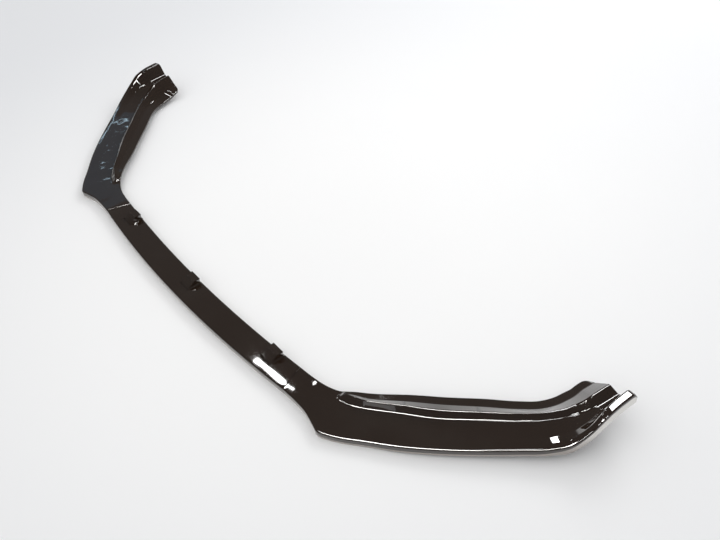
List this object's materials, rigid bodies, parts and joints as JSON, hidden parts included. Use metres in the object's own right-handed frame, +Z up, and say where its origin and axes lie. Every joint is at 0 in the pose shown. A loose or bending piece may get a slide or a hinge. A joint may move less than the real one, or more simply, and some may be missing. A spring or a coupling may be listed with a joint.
{
  "type": "front splitter lip",
  "caption": "Bowed front bumper splitter lip in gloss black plastic, with swept side blades, raised ridges, small winglets and locating tabs.",
  "frame": {"origin": "centre of the bounding box in plan, on the plane that the rims stand on", "axes": "+X across the car, +Y towards the rear of the car, +Z up"},
  "size_m": [1.7258, 0.4313, 0.08],
  "materials": {
    "gloss_black": "piano black gloss",
    "screw_steel": "zinc plated"
  },
  "bodies": {
    "root": {"centre_splitter": "gloss_black", "right_splitter": "gloss_black", "left_splitter": "gloss_black", "seam_screws": "screw_steel"}
  },
  "joints": []
}
